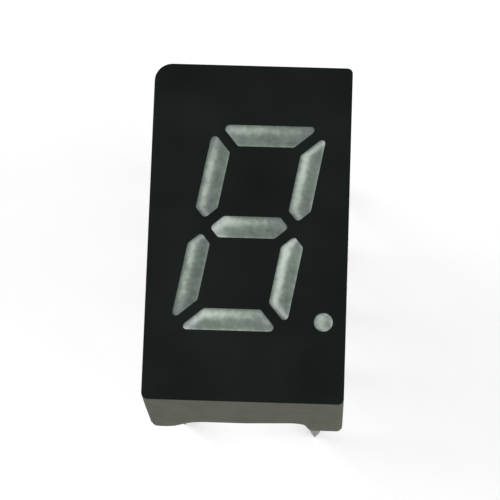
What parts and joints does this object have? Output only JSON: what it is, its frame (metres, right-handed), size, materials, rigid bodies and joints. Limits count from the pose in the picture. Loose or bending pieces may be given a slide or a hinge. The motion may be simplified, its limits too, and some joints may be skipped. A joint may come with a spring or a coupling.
{
  "type": "seven segment display",
  "caption": "Single-digit LED display with slanted bar segments, a decimal point, a black-inked face, a grey housing and two rows of round pins.",
  "frame": {"origin": "middle of the grid of pins, on the plane of the housing's feet, which is the plane that seats on a circuit board", "axes": "+Z out of the display face, +Y towards the top of the digit, +X to the right of someone reading it"},
  "size_m": [0.0072, 0.0124, 0.0135],
  "materials": {
    "housing": "moulded mid-grey polycarbonate, satin",
    "face_ink": "black printed ink, satin",
    "diffused_resin": "milky diffused epoxy",
    "clear_resin": "clear, slightly amber epoxy",
    "circuit_board": "near-black laminate",
    "copper": "dull copper foil",
    "led_chip": "semiconductor crystal",
    "gold": "bright gold wire",
    "pin_metal": "tinned wire"
  },
  "bodies": {
    "root": {"housing": "housing", "face_ink": "face_ink", "circuit_board": "circuit_board", "front_copper": "copper", "back_copper": "copper", "potting_resin": "clear_resin", "segment_a": "diffused_resin", "segment_b": "diffused_resin", "segment_c": "diffused_resin", "segment_d": "diffused_resin", "segment_e": "diffused_resin", "segment_f": "diffused_resin", "segment_g": "diffused_resin", "decimal_point": "diffused_resin", "led_chip_a": "led_chip", "led_chip_b": "led_chip", "led_chip_c": "led_chip", "led_chip_d": "led_chip", "led_chip_e": "led_chip", "led_chip_f": "led_chip", "led_chip_g": "led_chip", "led_chip_point": "led_chip", "bond_wire_a": "gold", "bond_wire_b": "gold", "bond_wire_c": "gold", "bond_wire_d": "gold", "bond_wire_e": "gold", "bond_wire_f": "gold", "bond_wire_g": "gold", "bond_wire_point": "gold", "pin_1": "pin_metal", "pin_2": "pin_metal", "pin_3": "pin_metal", "pin_4": "pin_metal", "pin_5": "pin_metal", "pin_6": "pin_metal", "pin_7": "pin_metal", "pin_8": "pin_metal", "pin_9": "pin_metal", "pin_10": "pin_metal"}
  },
  "joints": []
}
